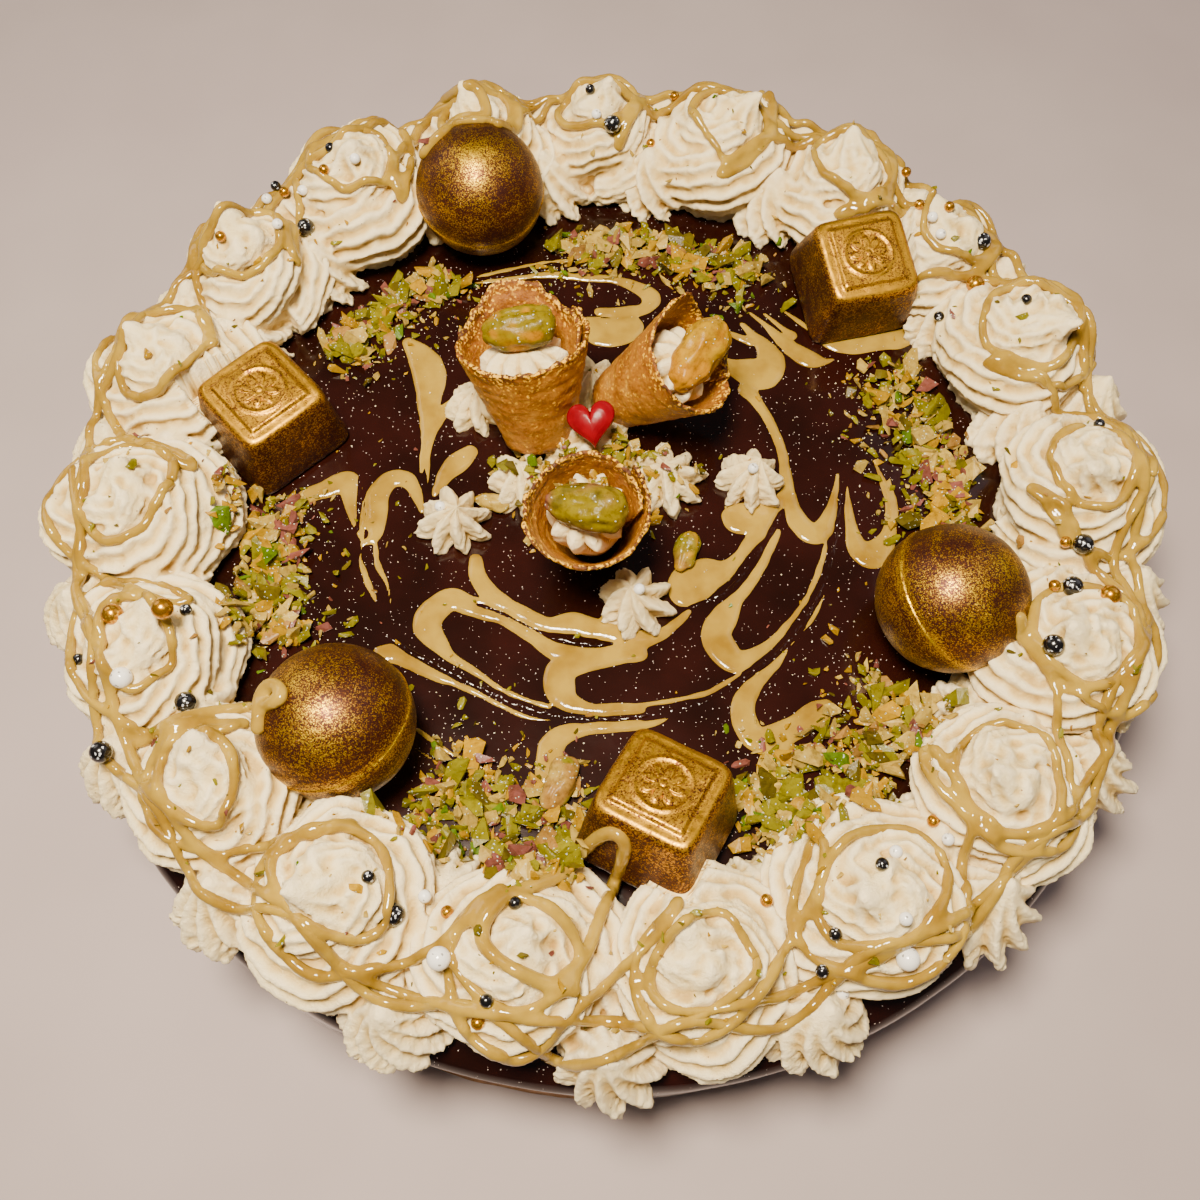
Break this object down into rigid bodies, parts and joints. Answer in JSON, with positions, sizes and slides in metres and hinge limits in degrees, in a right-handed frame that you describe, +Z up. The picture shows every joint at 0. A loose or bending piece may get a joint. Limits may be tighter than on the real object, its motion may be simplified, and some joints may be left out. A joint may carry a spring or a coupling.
{
  "type": "chocolate cheesecake",
  "caption": "Whole round chocolate-glazed cheesecake with a piped cream border, caramel drizzle, gold-dusted chocolates, rolled wafers and chopped pistachio.",
  "frame": {"origin": "centre of the flat bottom of the cake", "axes": "+Z up; -Y is the front, towards the viewer in the picture; +X to the right of the picture"},
  "size_m": [0.2421, 0.2431, 0.0795],
  "materials": {
    "baked_cake": "baked cheesecake side, matt, brown",
    "chocolate_glaze": "glossy dark chocolate glaze with caramel marbling",
    "whipped_cream": "whipped cream, soft satin",
    "gold_dust": "moulded chocolate brushed with gold lustre dust",
    "wafer": "thin baked wafer, granular, semi-matt",
    "pistachio": "shelled pistachio, green to yellow with mauve skin",
    "sugar": "glossy red pressed sugar",
    "caramel": "glossy caramel drizzle",
    "black_pearl": "black sugar pearl speckled with silver",
    "gold_pearl": "gold sugar pearl",
    "white_pearl": "white pearlescent sugar pearl",
    "silver_glitter": "edible silver glitter"
  },
  "bodies": {
    "root": {"cake_body": "baked_cake", "chocolate_glaze": "chocolate_glaze", "sugar_heart": "sugar", "cream_rosette_01": "whipped_cream", "cream_rosette_02": "whipped_cream", "cream_rosette_03": "whipped_cream", "cream_rosette_04": "whipped_cream", "cream_rosette_05": "whipped_cream", "cream_rosette_06": "whipped_cream", "cream_rosette_07": "whipped_cream", "cream_rosette_08": "whipped_cream", "cream_rosette_09": "whipped_cream", "cream_rosette_10": "whipped_cream", "cream_rosette_11": "whipped_cream", "cream_rosette_12": "whipped_cream", "cream_rosette_13": "whipped_cream", "cream_rosette_14": "whipped_cream", "cream_rosette_15": "whipped_cream", "cream_rosette_16": "whipped_cream", "cream_rosette_17": "whipped_cream", "cream_rosette_18": "whipped_cream", "cream_rosette_19": "whipped_cream", "gold_ball_1": "gold_dust", "gold_block_1": "gold_dust", "gold_ball_2": "gold_dust", "gold_block_2": "gold_dust", "gold_ball_3": "gold_dust", "gold_block_3": "gold_dust", "wafer_cone_left": "wafer", "cone_cream_left": "whipped_cream", "pistachio_kernel_left": "pistachio", "cream_star_left": "whipped_cream", "wafer_cone_right": "wafer", "cone_cream_right": "whipped_cream", "pistachio_kernel_right": "pistachio", "cream_star_right": "whipped_cream", "wafer_cone_front": "wafer", "cone_cream_front": "whipped_cream", "pistachio_kernel_front": "pistachio", "cream_star_front": "whipped_cream", "centre_star_left": "whipped_cream", "centre_star_right": "whipped_cream", "centre_star_back": "whipped_cream", "centre_star_side": "whipped_cream", "centre_mound": "whipped_cream", "pistachio_half_1": "pistachio", "pistachio_half_2": "pistachio", "pistachio_half_3": "pistachio", "pistachio_half_4": "pistachio", "chopped_nut_back": "pistachio", "chopped_nut_back_left": "pistachio", "chopped_nut_left": "pistachio", "chopped_nut_front_left": "pistachio", "chopped_nut_front_right": "pistachio", "chopped_nut_right": "pistachio"}
  },
  "joints": []
}
